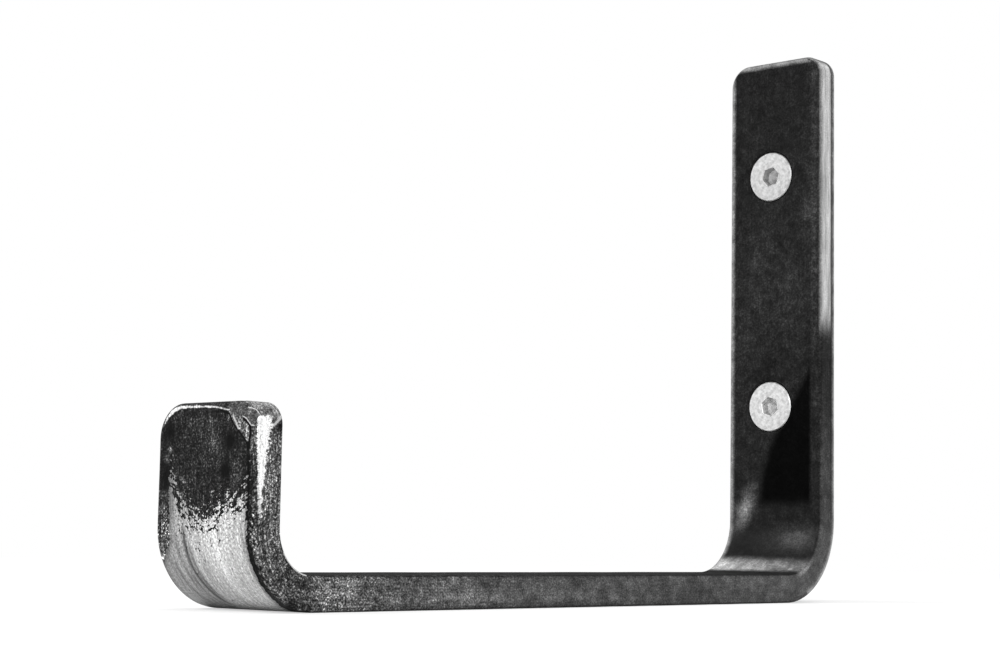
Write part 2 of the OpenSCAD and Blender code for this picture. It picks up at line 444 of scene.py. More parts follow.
barFinish = {
    "faceDepths": (0.3, 0.9),  # what lies within these of the outer and the inner face counts as it
    # Border of the bare steel on the outside of the lip's bend: place across, distance from the lip's end
    "bareFrom": ((-12.7, 15.0), (-10.3, 15.3), (-9.3, 12.9), (-8.5, 13.4), (-7.3, 17.0), (-6.2, 18.1),
                 (-4.0, 19.7), (-0.8, 20.3), (3.0, 19.3), (5.5, 18.6), (8.0, 18.0), (10.5, 17.2),
                 (12.7, 16.6)),
    "bareTo": 60.0,
    # its near and far limits: distance from the end, place across
    "bareNear": ((12, 10.7), (20, 10.85), (32, 10.85), (35, 10.1), (40, 9.5)),
    "bareFar": ((12, -9.4), (18, -9.3), (23.5, -9.1), (25.5, -11.3), (27.5, -13.5)),
    "bareSharp": (1, 1 / 3),  # how sharp its first and last limits are
    "bareAcrossSharp": (12, 16),
    "strokeMiddle": 0.5,  # the scratches slant down to here from both sides
    "strokeSlope": 0.62,
    # ground band on the lip's sides: distance from the end, least and greatest depth
    "lipBand": ((2.6, 0.2, 3.8), (5.5, 0.25, 3.2), (8.0, 0.4, 2.7), (10.6, 0.5, 2.45), (13.4, 0.6, 2.15),
                (16.3, 0.75, 1.75), (20.2, 0.95, 1.4), (23.0, 1.3, 1.1), (24.0, 2.0, 0.4)),
    "lipBandSharp": (2, 1),
    "lipBandTo": 30,
    # painted reflection band on the plate's sides, drawn as bare steel
    "plateReflectionBand": (252.5, 315.0),
    "plateReflectionSharp": (0.05, 0.25),
    "plateReflectionDepth": (1.95, 6.1),
    "plateReflectionDepthSharp": (0.5, 0.3),
    # bright line inside the outline of the lip's end: its distance from there and half breadth, both by
    # place across
    "browInset": ((-9, 0.85), (-5, 0.72), (0, 0.78), (2.5, 0.97), (6, 1.6), (8, 2.0)),
    "browBreadth": ((-12.3, -0.2), (-11, 0.16), (-9.5, 0.4), (-6, 0.24), (-2, 0.17), (2.5, 0.14), (6, 0.1),
                    (7.5, -0.3)),
    "browSharp": 1.6,
    "browTo": (7, 8),  # greatest distance from the end and place across
    "chips": (6, 24, 10),  # along the lip's near edge: distances from the end, least place across
    "chipsWear": (11.5, -0.6, -1.5),  # their middle, the wear there and its slope to both sides
    # how far the borders stray, and how much wear under a border still has its stray
    "fray": {"bare": 8.5, "brow": 0.22, "lipBand": 0.7, "chips": 1.8},
    "frayElsewhere": 0.03,
    "frayReach": -5,

    # share of light that comes back from the scale on the faces and the ends
    "faceTone": 0.0105,
    "plateTone": 0.0095,
    "plateShade": ((18, 1.2), (60, 1.3), (90, 1.2), (127, 0.72)),  # by height above the underside
    "endTone": 0.005,
    # the same on the sides, by distance from the lip's end
    "sideTone": ((0, 0.072), (18, 0.074), (24, 0.06), (30, 0.034), (36, 0.045), (42, 0.08), (60, 0.072),
                 (150, 0.065), (178, 0.065), (192, 0.065), (206, 0.048), (222, 0.034), (234, 0.014),
                 (248, 0.011), (256, 0.03), (316, 0.05)),
    # lighter and darker patches on the lip's front: place across and along, half sizes, turn, gain
    "lipPatches": (((1.7, 5.7), (1.6, 2.6), 0, 1.6), ((-2.0, 3.4), (1.8, 1.6), 0, 1.0),
                   ((7.8, 12.8), (1.3, 2.0), 20, 1.8), ((5.2, 11.8), (1.4, 1.3), 0, -1.3),
                   ((6.2, 6.9), (1.4, 1.5), 0, -1.2), ((-9.6, 4.9), (1.3, 1.6), 0, -0.9),
                   ((-5.6, 13.4), (0.25, 1.6), -52, 5.0), ((-6.6, 15.4), (0.3, 2.2), -50, 3.0),
                   ((-9.5, 8.1), (0.4, 0.4), 0, 14.0), ((-10.2, 9.6), (0.4, 0.55), -40, 14.0),
                   ((3.0, 9.0), (5.0, 4.0), 0, 0.4), ((-10.3, 13.0), (0.9, 3.0), 0, -0.8),
                   ((-11.5, 11.0), (2.6, 5.0), 0, -0.4)),
    "darkest": (0.15, 0.1),  # least share of the tone that these patches and the spots leave
    # strip on the lip's front beyond the bare steel: greatest place across and stretch, distance and tone
    "farStrip": (-8, 15, 30),
    "farStripTone": ((15, 0.02), (20, 0.03), (24, 0.06), (28, 0.12)),
    # spots on the near side: distance and depth, radius, gain
    "sideSpots": (((4.3, 5.4), 1.1, -0.95), ((54.1, 3.6), 0.5, -0.9), ((57.1, 4.0), 0.6, -0.9),
                  ((58.6, 4.0), 0.5, -0.8), ((53.3, 2.4), 0.6, -0.8), ((50.5, 4.6), 0.7, -0.7),
                  ((60.5, 2.6), 0.6, -0.7), ((90.5, 1.9), 0.7, -0.6), ((95.7, 2.0), 0.8, -0.5),
                  ((46.0, 2.5), 3.0, 0.5), ((40.0, 4.0), 2.0, 0.6), ((117.0, 2.5), 1.6, -0.45),
                  ((124.0, 3.4), 1.2, -0.4), ((75.0, 3.0), 6.0, 0.3), ((136.0, 3.5), 4.0, -0.3),
                  ((150.0, 3.0), 7.0, -0.25)),
    # near edge of the lip: least place across and stretch, dark line on the front (shift from the limit,
    # half width, strength), then distance and tone of the round and its greatest depth
    "nearEdge": (9, 7, 38),
    "nearLine": (0.3, 0.5, 0.95),
    "nearRoundTone": ((18, 0.025), (24, 0.06), (30, 0.05), (34, 0.02)),
    "nearRoundDepth": 1.5,
    # near part of the lip's end and its corner: least place across, greatest distance, and the greatest
    # depth of the one and the least of the other
    "nearEnd": (5.6, 9, 1.0),
    "nearCorner": (9, 5, 0.5),
    # ground flats: place across and the distance at which the upper and the lower one end, and their tones
    "upperFlatEnd": ((5.6, 0.9), (6.2, 2.1), (7.4, 2.3), (9.2, 2.7), (10.3, 3.3), (11.1, 4.2), (11.8, 4.2),
                     (12.6, 2.6)),
    "lowerFlatEnd": ((6.2, 3.0), (7.35, 4.35), (8.76, 5.55), (10.2, 6.9), (11, 6.9)),
    "flatsTo": 11.1,
    "flatTone": 0.055,
    "lowerFlatTone": 0.1,
    "beyondFlatsTone": 0.045,
    "cornerTone": 0.145,
    # dark inner edge of the near side: where it comes and goes, tone
    "innerEdge": (3, 4, 120, 170),
    "innerEdgeTone": 0.02,
    # painted shade of the arm's near side by depth on its left and on its right, and where it comes and goes
    "armLeft": ((0.5, 0.72), (0.9, 0.78), (2.0, 1.25), (3.2, 1.0), (5.0, 0.85), (6.0, 0.7)),
    "armRight": ((0.5, 0.85), (1.0, 0.85), (3.2, 0.95), (5.0, 1.2), (6.0, 1.1)),
    "armChange": (110, 145),
    "armSide": (50, 65, 165, 185),
    # painted shade: a dark wedge on the plate's face; height and place across of its slanting border, then
    # its limits
    "wedgeBorder": ((20, -5.2), (22.8, -4.7), (29.7, -3.2), (35.7, -1.1), (39.9, 1.4), (45, 4.4),
                    (53.4, 9.5)),
    "wedgeSoft": 1.5,
    "wedgeNear": (9.4, 10.6),
    "wedgeFoot": (20, 24),
    "wedgeDark": 0.92,
    # patches on the plate's face: place across and height, half sizes, turn, tone added
    "platePatches": (((-8.3, 20.7), (1.7, 4.2), -25, 0.17), ((9.4, 90.4), (1.3, 2.6), 0, 0.02),
                     ((6.6, 13.1), (4.6, 3.0), 0, 0.045), ((11.3, 46.5), (1.2, 2.0), 0, 0.01),
                     ((-4.5, 78), (4.0, 12.0), 0, 0.007), ((-8.5, 62), (2.5, 7.0), 0, 0.006),
                     ((3.5, 70), (3.0, 8.0), 0, 0.006), ((-1.0, 55), (6.0, 3.0), 0, -0.004),
                     ((-8.0, 92), (3.0, 7.0), 0, -0.004)),
    "shadedFoot": ((-7.5, 11), (4.0, 3.5), 0.6),  # place, half sizes, share taken away
    "nearStrip": (10.7, 1.6, 0.012, 52, 70),  # place across, half width, tone added, where it comes in
    # painted highlight on the inner side of the plate's bend, a reflection: where it comes and goes, tone by
    # place across, and a brighter painted glint
    "bendHighlightSpan": (187, 190, 192, 196.5),
    "bendHighlightTone": ((-12, 0.4), (10, 0.1)),
    "bendGlint": ((9.2, 190.2), (0.5, 0.6), 0.3),
    # painted light rim of the plate's face and sides, and the painted dark line before it: depth, half width,
    # share taken
    "rimTone": 0.22,
    "faceRim": (0.5, 1.7),  # distance from the far edge or the top over which it fades
    "backRim": (0.95, 1.5),  # depth over which it fades
    "rimLine": (1.7, 0.35, 0.6),
    "rimOnEnds": 0.4,  # share of the rim's tone left on the plate's end
    "rimsFrom": 6,  # past the start of the plate's bend
    "patchesFrom": 6,  # least height of the plate's patches

    # strength of the flecks by distance from the lip's end, and on the ground end
    "speckle": ((0, 0.8), (20, 0.9), (30, 0.9), (45, 0.75), (60, 0.5), (95, 0.3), (175, 0.22), (195, 0.16),
                (230, 0.3)),
    "endSpeckle": 0.5,
    "rimSpeckle": 0.3,  # share of it left on the rim
    "darkSpeckle": 0.6,  # share of a dark patch's gain that it loses there
    "borderSpeckle": (21.5, 3.5, 0.5),  # more of it by the bare steel's border: distance, half width, gain
    # share of light that comes back from the bare steel, and its shade across
    "bareTone": 0.52,
    "bareShade": ((-12, 0.4), (-9, 0.58), (-5, 0.72), (-2, 0.87), (3, 1.0), (10, 1.0)),
    # painted light: the bare steel grows lighter towards the underside of the lip's bend
    "bareLow": (29, 34, 0.2),  # distances over which it grows lighter, and by how much
    "bareEdges": ((-0.2, 1.3, 0.35), (0, 1.8, 0.5)),  # near and far: fade's limits, share kept at the edge
    # dark grinding streaks on it: distance and place across of three points, half width, share kept
    "streaks": (((21.0, -5.4), (27.0, -4.6), (34.5, -2.7), 0.5, 0.12),
                ((23.0, -4.2), (28.0, -3.4), (33.0, -2.0), 0.35, 0.35),
                ((22.0, -7.4), (27.0, -6.6), (32.0, -6.1), 0.45, 0.5),
                ((25.0, -9.0), (29.0, -8.4), (34.0, -7.6), 0.5, 0.55),
                ((27.0, -5.7), (31.0, -5.0), (36.0, -3.8), 0.35, 0.45),
                ((20.0, 2.2), (27.0, 3.6), (34.0, 4.4), 0.5, 1.35),
                ((16.0, 8.6), (22.0, 9.6), (26.0, 9.9), 0.3, 0.7)),
    "streakEnds": (1, 2),  # how far before and after its first point a streak comes in
    "bandTone": 0.85,
    "bandShade": ((12, 1.0), (18, 0.7), (24, 0.3)),
    "farBandShare": 0.35,
    # tone of the painted reflection band on the plate's sides
    "plateReflectionTone": 0.5,
    "browTone": 0.8,
    "dullTop": (30, 34, 184, 190),  # where the dullness of the arm's top comes and goes

    # patterns: scale per millimetre (or one for each axis), detail, roughness
    "grain": (2.6, 3, 0.7),
    "fine": (5.5, 2, 0.6),
    "blotch": (0.33, 4, 0.6),
    "crumbs": (0.95, 2.5, 0.6),
    "clumps": (0.8, 2, 0.5),
    "pits": (1.1, 2, 0.6),
    "scratches": ((1.4, 0.33, 0.8), 2, 0.6),
    "drawn": ((2.2, 2.2, 0.13), 3, 0.6),
    "broadLines": ((0.8, 0.8, 0.1), 4, 0.65),
    "thinLines": ((5.0, 5.0, 0.25), 2, 0.6),
    # how much the crumbs, scratches and grain break the border, a shift that centres it, and its ramp
    "borderBreaks": (2.1, 2.0, 1.3),
    "borderShift": -2.7,
    "borderRamp": (-0.15, 0.3),
    # how strongly the flecks follow the grain, the drawn lines and the clumps
    "fleckGains": (15.0, 4.0, 4.5),
    "bareGain": (3.2, 0.3),  # the same on bare steel, with the speckle and without it
    # pattern's range, then the factor that it gives
    "blotchShade": (0.25, 0.75, 0.6, 1.5),
    "fineShade": (0.3, 0.7, 0.75, 1.3),
    "broadShade": (0.3, 0.65, 0.72, 1.15),
    "thinShade": (0.3, 0.7, 0.8, 1.2),
    "pitRange": (0.64, 0.72),
    "pitDark": -0.8,
    "whitest": 0.95,
    "scaleRough": (0.3, 0.7, 0.34, 0.5),
    "bareRough": (0.3, 0.7, 0.36, 0.55),
    "dullRough": 0.95,
    "bareMetal": 0.75,
    "scaleShine": 0.04,
    "bump": 0.5,
    "bumpDepth": 0.1,
    "bumpShares": (0.6, 1.6, 0.5),  # of the grain, of the blotches, and taken away where steel is bare
    # lines drawn on the lip's end and one in its bend, in the straight bar's own place across, depth and
    # distance: points, half width, grey; the last is a painted highlight
    "lines": (
        (((3.5, 0, 1.46), (5.8, 0, 2.2), (6.2, 0, 3.0), (7.35, 0, 4.35), (8.76, 0, 5.55), (10.2, 0, 6.9),
          (10.9, 0, 8.0)), 0.19, 0.002),
        (((9.3, 0, 3.08), (10.2, 0, 3.6), (10.9, 0, 4.3), (11.15, 0, 5.7), (11.0, 0, 8.0)), 0.24, 0.002),
        (((10.0, 0.06, 0.8), (10.9, 0.19, 1.0), (11.5, 0.44, 1.3), (12.1, 0.66, 1.9), (12.35, 1.0, 2.4)),
         0.09, 0.5),
        (((9.2, 0, 2.7), (9.9, 0, 3.05), (10.5, 0, 3.65), (11.15, 0, 4.2), (11.8, 0, 4.25)), 0.08, 0.5),
        (((6.8, 0, 2.7), (7.5, 0, 3.6), (8.2, 0, 4.7)), 0.16, 0.45),
        (((12.7, 3.9, 4.1), (12.6, 5.8, 2.6)), 0.2, 0.4),
        # painted highlight along the inner edge of the lip's bend
        (((12.55, 6.0, 27.0), (12.5, 6.08, 32.0), (12.4, 6.17, 36.0)), 0.22, 0.5),
    ),
    "lineWobble": 0.25,
    "lineEdge": (0.6, 1.6),  # shares of the half width over which a line fades
}

nowhere = -9.0  # wear far from any bare steel


def dent(straight):
    # Unevenness of the straight bar's points: its own waves inwards on each face, and both in between, each
    # by its share of the depth
    inner, outer = (uneven(straight[:, 0], straight[:, 2], seed) for seed in bar["waveSeeds"])
    share = straight[:, 1] / bar["thickness"]
    return bar["wave"] * (inner * share - outer * (1 - share))


def groundDown(points):
    # Ground flats: what lies beyond a flat's plane is moved square back onto it
    corner = np.array([bar["width"] / 2, -bar["reach"], bar["lipHeight"] + bar["underside"]])
    for depth, turn, tip in bar["flats"]:
        turn, tip = math.radians(turn), math.radians(tip)
        normal = np.array([math.sin(turn) * math.cos(tip), -math.cos(turn) * math.cos(tip), math.sin(tip)])
        points = points - np.maximum((points - corner) @ normal + depth, 0)[:, None] * normal
    return points


def table(value, pairs):
    # Straight lines between the pairs of place and value
    places, values = np.array(pairs).T
    return np.interp(value, places, values)


def smooth(value, low, high):
    # 0 below low, 1 above high, and an even S between them
    share = np.clip((value - low) / (high - low), 0, 1)
    return share * share * (3 - 2 * share)


def stretch(value, limits):
    # 1 on a stretch that comes in between the first two limits and goes between the last two
    return smooth(value, *limits[:2]) * (1 - smooth(value, *limits[2:]))


def between(value, low, high, sharp):
    # Above 0 between low and high: the lesser of the distances to them, each times its sharpness
    return np.minimum((value - low) * sharp[0], (high - value) * sharp[1])


def bell(value, middle, width):
    # 1 in the middle, and e to the power of minus the square of the distance in widths
    return np.exp(-((value - middle) / width) ** 2)


def blob(across, along, place, size, turn=0.0):
    # Soft oval patch: the bells of its two half sizes multiplied, turned by an angle in degrees
    cos, sin = math.cos(math.radians(turn)), math.sin(math.radians(turn))
    x, y = across - place[0], along - place[1]
    return bell(x * cos + y * sin, 0, size[0]) * bell(y * cos - x * sin, 0, size[1])


def outlineDistance(across, along):
    # How far a point of the front lies from the outline of the lip's end, round its corners too
    half = bar["width"] / 2
    distance = np.minimum(half - np.abs(across), along)
    for side, radius in zip((-1, 1), bar["lipCorners"]):
        x, y = radius - (half - side * across), radius - along
        distance = np.where((x > 0) & (y > 0), radius - np.hypot(x, y), distance)
    return distance


def wearAndReflectionOf(p):
    # Above 0 where steel is bare and in the painted reflection band on the plate's sides, in millimetres from
    # the border, and how far that border strays
    f = barFinish
    bare = np.minimum(between(p.along, table(p.across, f["bareFrom"]), f["bareTo"], f["bareSharp"]),
                      between(p.across, p.farLimit, p.nearLimit, f["bareAcrossSharp"]))
    bare = np.where(p.outer, bare, nowhere)

    distance, least, greatest = np.array(f["lipBand"]).T
    least, greatest = np.interp(p.along, distance, least), np.interp(p.along, distance, greatest)
    lipBand = np.minimum(between(p.depth, least, greatest, f["lipBandSharp"]),
                         (p.along - distance[0]) * f["lipBandSharp"][0])
    lipBand = np.where((p.sideward > 0.35) & (p.endward < 0.6) & (p.along < f["lipBandTo"]), lipBand, nowhere)
    # painted reflection band on the plate's sides, drawn as bare steel
    plateReflectionBand = np.minimum(between(p.depth, *f["plateReflectionDepth"], f["plateReflectionDepthSharp"]),
                           between(p.along, *f["plateReflectionBand"], f["plateReflectionSharp"]))
    plateReflectionBand = np.where(p.onEdge & p.onPlate, plateReflectionBand, nowhere)

    inset = np.abs(outlineDistance(p.across, p.along) - table(p.across, f["browInset"]))
    brow = (table(p.across, f["browBreadth"]) - inset) * f["browSharp"]
    onBrow = (p.along < f["browTo"][0]) & (p.across < f["browTo"][1]) & (p.turned < 0.75)
    brow = np.where(onBrow, brow, nowhere)
    start, end, least = f["chips"]
    middle, most, slope = f["chipsWear"]
    atChips = (p.along > start) & (p.along < end) & (p.across > least) & (p.turned < 0.5)
    chips = np.where(atChips, most + slope * np.abs(p.across - middle), nowhere)

    strays = {"bare": bare, "brow": brow, "lipBand": lipBand, "chips": chips}
    fray = np.select([wearAndReflection > f["frayReach"] for wearAndReflection in strays.values()],
                     [f["fray"][name] for name in strays], f["frayElsewhere"])
    return np.maximum.reduce([bare, lipBand, plateReflectionBand, brow, chips]), fray, brow > f["frayReach"]


def scaleTone(p):
    # Share of light that comes back from the scale: a level for each face, times its patches and spots
    f = barFinish
    tone = np.where(p.onPlate, f["plateTone"] * table(p.rise, f["plateShade"]), f["faceTone"])
    tone = tone + (table(p.along, f["sideTone"]) - tone) * smooth(p.sideward, 0.5, 0.95)
    tone = np.where(p.endward > 0.6, f["endTone"], tone)
    for place, size, turn, gain in f["lipPatches"]:
        patch = np.maximum(1 + gain * blob(p.across, p.along, place, size, turn), f["darkest"][0])
        tone = tone * np.where(p.lipFront, patch, 1)
    across, start, end = f["farStrip"]
    farStrip = p.outer & (p.across < across) & (p.along > start) & (p.along < end)
    tone = np.where(farStrip, table(p.along, f["farStripTone"]), tone)
    for spot, size, gain in f["sideSpots"]:
        patch = np.maximum(1 + gain * blob(p.along, p.depth, spot, (size, size)), f["darkest"][1])
        tone = tone * np.where(p.nearSide, patch, 1)
    return tone


def lipEdgeTone(p, tone):
    # The near edge of the lip: a dark line on the front, then a lighter round
    f = barFinish
    least, start, end = f["nearEdge"]
    shift, width, dark = f["nearLine"]
    nearEdge = (p.across > least) & (p.along > start) & (p.along < end)
    line = 1 - dark * bell(p.across, p.nearLimit + shift, width)
    tone = np.where(nearEdge & p.outer, tone * line, tone)
    nearRound = nearEdge & (p.turned > 0.05) & (p.depth < f["nearRoundDepth"])
    tone = np.where(nearRound, table(p.along, f["nearRoundTone"]), tone)
    # The ground flats, what lies beyond them and the end's near corner
    tone = np.where(p.nearEnd & (p.across > f["flatsTo"]), f["beyondFlatsTone"], tone)
    lowerFlat = p.nearEnd & (p.across <= f["flatsTo"]) & (p.along < table(p.across, f["lowerFlatEnd"]))
    tone = np.where(lowerFlat, f["lowerFlatTone"], tone)
    tone = np.where(p.upperFlat, f["flatTone"], tone)
    return np.where(p.nearCorner, f["cornerTone"], tone)


def armTone(p, tone):
    # The dark inner edge of the near side, and painted shade of the arm's side by depth, which changes along
    # it
    f = barFinish
    innerEdge = stretch(p.along, f["innerEdge"]) * ((p.toSide > 0) & (p.turned > 1.5))
    tone = tone + (f["innerEdgeTone"] - tone) * innerEdge
    left, right = table(p.depth, f["armLeft"]), table(p.depth, f["armRight"])
    shade = left + (right - left) * smooth(p.along, *f["armChange"])
    return tone * (1 + (shade - 1) * stretch(p.along, f["armSide"]) * p.nearSide)


def plateTone(p, tone):
    # The plate's face and the inside of its bend: painted shade in the wedge and at the foot, patches and a
    # strip added, and a painted highlight on the inside of the bend
    f = barFinish
    foot, size, dark = f["shadedFoot"]
    shaded = tone * (1 - f["wedgeDark"] * p.wedge)
    shaded = shaded * (1 - dark * blob(p.across, p.rise, foot, size) * (p.rise > 0))
    patches = sum(gain * blob(p.across, p.rise, place, size, turn)
                  for place, size, turn, gain in f["platePatches"])
    middle, width, added, *heights = f["nearStrip"]
    patches = patches + added * bell(p.across, middle, width) * smooth(p.rise, *heights)
    # painted highlight and glint on the inside of the plate's bend
    paintedHighlight = stretch(p.along, f["bendHighlightSpan"]) * table(p.across, f["bendHighlightTone"])
    spot, size, gain = f["bendGlint"]
    paintedHighlight = paintedHighlight + gain * blob(p.across, p.along, spot, size)
    face = shaded + np.where(p.rise > f["patchesFrom"], patches, 0) + paintedHighlight
    return np.where(p.inner & (p.along > p.marks[2]), face, tone)


def rimOf(p):
    # Share of the plate's painted light rim: on its face by the far edge and the top, and on its sides by the
    # back
    f = barFinish
    fromEdge = np.minimum(bar["width"] / 2 + p.across, p.marks[4] - p.along)
    onRim = (p.turned > 1) & ((p.toSide <= 0) | (p.toEnd > 0.3))
    faceRim = np.where(onRim, 1 - smooth(fromEdge, *f["faceRim"]), 0)
    backRim = (1 - smooth(p.depth, *f["backRim"])) * (p.toSide > 0.1)
    return np.where(p.along > p.marks[2] + f["rimsFrom"], np.maximum(faceRim, backRim), 0)


def fleckStrength(p):
    f = barFinish
    speckle = np.where(p.upperFlat | p.nearCorner, f["endSpeckle"], table(p.along, f["speckle"]))
    speckle = speckle * (1 - (1 - f["rimSpeckle"]) * p.rim)
    for place, size, turn, gain in f["lipPatches"]:
        dark = f["darkSpeckle"] * min(gain, 0) * blob(p.across, p.along, place, size, turn)
        speckle = speckle * np.where(p.lipFront, 1 + dark, 1)
    middle, width, gain = f["borderSpeckle"]
    return speckle * (1 + gain * np.where(p.lipFront, bell(p.along, middle, width), 0))


def bareTone(p, onBrow):
    # Share of light that comes back from bare steel: on the bend by place across, less by its limits and in
    # the streaks, and one level each for the bands and the bright line; the plate's band is a painted
    # reflection
    f = barFinish
    start, end, gain = f["bareLow"]
    tone = f["bareTone"] * table(p.across, f["bareShade"]) * (1 + gain * smooth(p.along, start, end))
    for inside, (low, high, kept) in zip((p.nearLimit - p.across, p.across - p.farLimit), f["bareEdges"]):
        tone = tone * (kept + (1 - kept) * smooth(inside, low, high))
    for *points, width, kept in f["streaks"]:
        first, last = points[0][0], points[-1][0]
        before, after = f["streakEnds"]
        streak = bell(p.across, table(p.along, points), width)
        streak = streak * stretch(p.along, (first - before, first + after, last - after, last + before))
        tone = tone * (1 - (1 - kept) * streak)
    band = f["bandTone"] * table(p.along, f["bandShade"]) * np.where(p.toSide > 0, 1, f["farBandShare"])
    tone = np.where(p.onEdge, np.where(p.onPlate, f["plateReflectionTone"], band), tone)
    return np.where(onBrow, f["browTone"], tone)


def barPlaces(straight, turned, sides):
    # Where each point lies: "turned" goes from 0 on the outer face over 1 on the edge to 2 on the inner face,
    # and "sides" is how far the point faces to the near side and towards the plate's end
    f, marks = barFinish, barMarks()
    p = SimpleNamespace(marks=marks, turned=turned, toSide=sides[:, 0], toEnd=sides[:, 1])
    p.across, p.depth, p.along = straight.T
    p.sideward, p.endward = np.abs(sides.T)
    p.onEdge, p.nearSide = p.sideward > 0.05, p.toSide > 0.5
    p.onPlate = p.along > marks[3]
    p.rise = p.along - marks[3] + bar["plateBend"] + bar["thickness"]
    outerDepth, innerDepth = f["faceDepths"]
    p.outer, p.inner = p.depth < outerDepth, p.depth > bar["thickness"] - innerDepth
    p.lipFront = p.outer & (p.along < marks[1])
    p.nearLimit, p.farLimit = table(p.along, f["bareNear"]), table(p.along, f["bareFar"])
    least, greatest, deepest = f["nearEnd"]
    p.nearEnd = (p.across > least) & (p.along < greatest) & (p.depth < deepest)
    p.upperFlat = p.nearEnd & (p.along < table(p.across, f["upperFlatEnd"]))
    least, greatest, shallowest = f["nearCorner"]
    p.nearCorner = (p.across > least) & (p.along < greatest) & (p.depth > shallowest) & (p.endward > 0.25)
    # painted shade: a dark wedge on the plate's face
    p.wedge = smooth(p.across - table(p.rise, f["wedgeBorder"]), -f["wedgeSoft"], f["wedgeSoft"])
    p.wedge = p.wedge * (1 - smooth(p.across, *f["wedgeNear"])) * smooth(p.rise, *f["wedgeFoot"])
    p.rim = rimOf(p)
    return p


def barFields(straight, turned, sides):
    # What the steel's material reads at each point
    f, p = barFinish, barPlaces(straight, turned, sides)
    wearAndReflection, fray, onBrow = wearAndReflectionOf(p)
    tone = plateTone(p, armTone(p, lipEdgeTone(p, scaleTone(p))))
    # Painted dark line before the plate's painted light rim, then the rim
    middle, width, dark = f["rimLine"]
    tone = tone * np.where(p.onPlate & p.nearSide, 1 - dark * bell(p.depth, middle, width), 1)
    rimTone = f["rimTone"] * (1 - (1 - f["rimOnEnds"]) * smooth(p.endward, 0.3, 0.9))
    tone = tone + (rimTone - tone) * p.rim
    # Scratches fan out from the middle: their place across them and along them
    slant = np.abs(p.across - f["strokeMiddle"])
    strokes = np.stack([p.along + f["strokeSlope"] * slant, slant - f["strokeSlope"] * p.along, p.depth], -1)
    # Dull on the arm's top and in the wedge
    dull = np.where(p.turned > 1.1, stretch(p.along, f["dullTop"]), 0)
    dull = np.maximum(dull, p.wedge * (p.turned > 1.9) * p.onPlate)
    return {"wearAndReflection": wearAndReflection, "fray": fray, "tone": tone, "speckle": fleckStrength(p),
            "bareTone": bareTone(p, onBrow), "dull": dull, "strokes": strokes, "barPoint": straight}


def makeBar():
    # The straight bar's grid of rows and columns on both faces, its round edge and its holes, each point
    # carried onto the bent bar
    edge, thick = bar["edgeRound"], bar["thickness"]
    rows, windows = barRows()
    shares = barColumns()
    inner = bar["width"] / 2 - edge
    before, over, _ = bar["columns"]

    # Faces: each row is drawn in at its ends where the corners are round
    (farInset, *farOut), (nearInset, *nearOut) = rowEnds(rows, 0), rowEnds(rows, 1)
    left, right = farInset - inner, inner - nearInset
    across = left[:, None] + shares * (right - left)[:, None]
    along = np.repeat(rows[:, None], len(shares), 1)
    gridCount = across.size
    grid = np.arange(gridCount).reshape(across.shape)
    keep = np.ones((len(rows) - 1, len(shares) - 1), bool)
    for firstRow, _ in windows:
        keep[firstRow:firstRow + bar["windowRows"], before:before + over] = False
    face = np.stack([grid[:-1, :-1], grid[:-1, 1:], grid[1:, 1:], grid[1:, :-1]], -1)[keep]

    # Edge: columns round the outline, each pushed out in the direction that the outline faces there
    loop = roundFace(*across.shape)
    straightEnd = np.zeros(len(shares) - 2)
    outAcross = np.concatenate([farOut[0], straightEnd, nearOut[0][::-1], straightEnd])[:, None]
    outAlong = np.concatenate([farOut[1], straightEnd + 1, nearOut[1][::-1], straightEnd - 1])[:, None]
    out, depth, turn = (part[1:-1] for part in roundEdge())
    edgeShape = (len(outAcross), len(out))
    edgeAcross, edgeAlong = across[loop][:, None] + outAcross * out, along[loop][:, None] + outAlong * out
    edgeDepth, edgeTurned = np.broadcast_to(depth, edgeShape), np.broadcast_to(turn, edgeShape)
    edgeIds = 2 * gridCount + np.arange(edgeAcross.size).reshape(edgeShape)
    edgeIds = np.column_stack([grid[loop], edgeIds, grid[loop] + gridCount])

    straight = [np.column_stack([across.ravel(), np.full(gridCount, level), along.ravel()])
                for level in (0.0, thick)]
    straight.append(np.stack([edgeAcross, edgeDepth, edgeAlong], -1).reshape(-1, 3))
    turned = [np.repeat([0.0, 2.0], gridCount), edgeTurned.ravel()]
    sides = [np.zeros((2 * gridCount, 2)),
             np.stack([outAcross * out / edge, outAlong * out / edge], -1).reshape(-1, 2)]
    quads = [face[:, ::-1], face + gridCount, joined(edgeIds.T)]

    # Holes
    used = 2 * gridCount + edgeAcross.size
    for firstRow, middle in windows:
        windowRow, windowColumn = roundFace(bar["windowRows"] + 1, over + 1)
        border = (firstRow + windowRow, before + windowColumn)
        outline = np.column_stack([across[border], along[border]])
        rings = holeRings(outline, np.array([bar["screwSide"], middle]))
        ids = used + np.arange(len(rings) * len(outline)).reshape(len(rings), -1)
        used += ids.size
        straight += rings
        turned.append(np.full(ids.size, 2.0))
        sides.append(np.zeros((ids.size, 2)))
        quads.append(joined(np.vstack([grid[border] + gridCount, ids, grid[border]])))
    straight, turned, sides = np.concatenate(straight), np.concatenate(turned), np.concatenate(sides)
    quads = np.concatenate(quads)

    points = groundDown(bentPlace(straight[:, 0], straight[:, 1] - dent(straight), straight[:, 2]))
    print("bar:", len(points), "points,", len(quads), "quads")
    return makeMesh("hookBar", points, quads, (), bar["sharpAngle"], barFields(straight, turned, sides))


def addLines(tree, place, grain, grey):
    # Thin lines on the lip's end and a painted highlight inside its bend, where the nearest stretch of the
    # line is closer than its half width
    f = barFinish
    wobble = f["lineWobble"]
    for points, width, tone in f["lines"]:
        gap, *others = [stretchGap(tree, place, *ends) for ends in zip(points[:-1], points[1:])]
        for other in others:
            gap = calc(tree, "MINIMUM", gap, other)
        gap = calc(tree, "MULTIPLY_ADD", grain, -wobble, calc(tree, "ADD", gap, wobble / 2))
        low, high = (width * share for share in f["lineEdge"])
        grey = mix(tree, ramp(tree, gap, low, high, 1.0, 0.0), grey, tone)
    return grey


